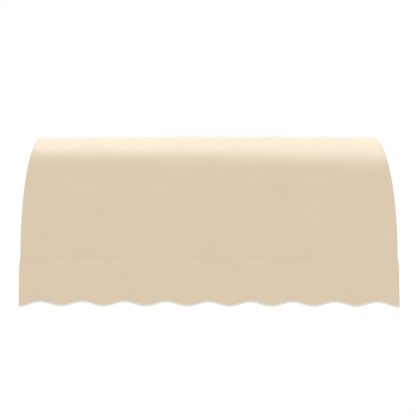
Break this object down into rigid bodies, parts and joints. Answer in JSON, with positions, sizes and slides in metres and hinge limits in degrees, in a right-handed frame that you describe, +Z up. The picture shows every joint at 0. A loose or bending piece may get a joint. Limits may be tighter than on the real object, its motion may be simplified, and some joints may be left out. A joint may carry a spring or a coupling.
{
  "type": "window awning",
  "caption": "Fixed convex window awning: curved tube frame with spigot castings and wall flanges under a sewn cloth cover with closed sides and a wavy bound valance.",
  "frame": {"origin": "middle of the centre head casting's back face, on the wall plane, level with the head bar's axis", "axes": "+X along the wall to the viewer's right, +Y into the wall, +Z up; the awning faces -Y"},
  "size_m": [2.4402, 0.6111, 1.1527],
  "materials": {
    "tube": "satin mill finish",
    "casting": "as cast, fine grain",
    "cloth": "matt woven acrylic",
    "binding": "matt woven tape"
  },
  "bodies": {
    "root": {"head_bar_left": "tube", "head_bar_right": "tube", "front_bar_left": "tube", "front_bar_right": "tube", "wall_post_left": "tube", "wall_post_right": "tube", "side_arm_left": "tube", "side_arm_right": "tube", "rafter_left": "tube", "rafter_centre": "tube", "rafter_right": "tube", "head_corner_left": "casting", "head_centre": "casting", "head_corner_right": "casting", "front_corner_left": "casting", "front_centre": "casting", "front_corner_right": "casting", "wall_foot_left": "casting", "wall_foot_right": "casting", "cover_panel_left": "cloth", "cover_panel_right": "cloth", "head_pocket_left": "cloth", "head_pocket_right": "cloth", "front_pocket_left": "cloth", "front_pocket_right": "cloth", "side_wing_left": "cloth", "side_wing_right": "cloth", "front_valance": "cloth", "side_valance_left": "cloth", "side_valance_right": "cloth", "front_binding": "binding", "side_binding_left": "binding", "side_binding_right": "binding"}
  },
  "joints": []
}
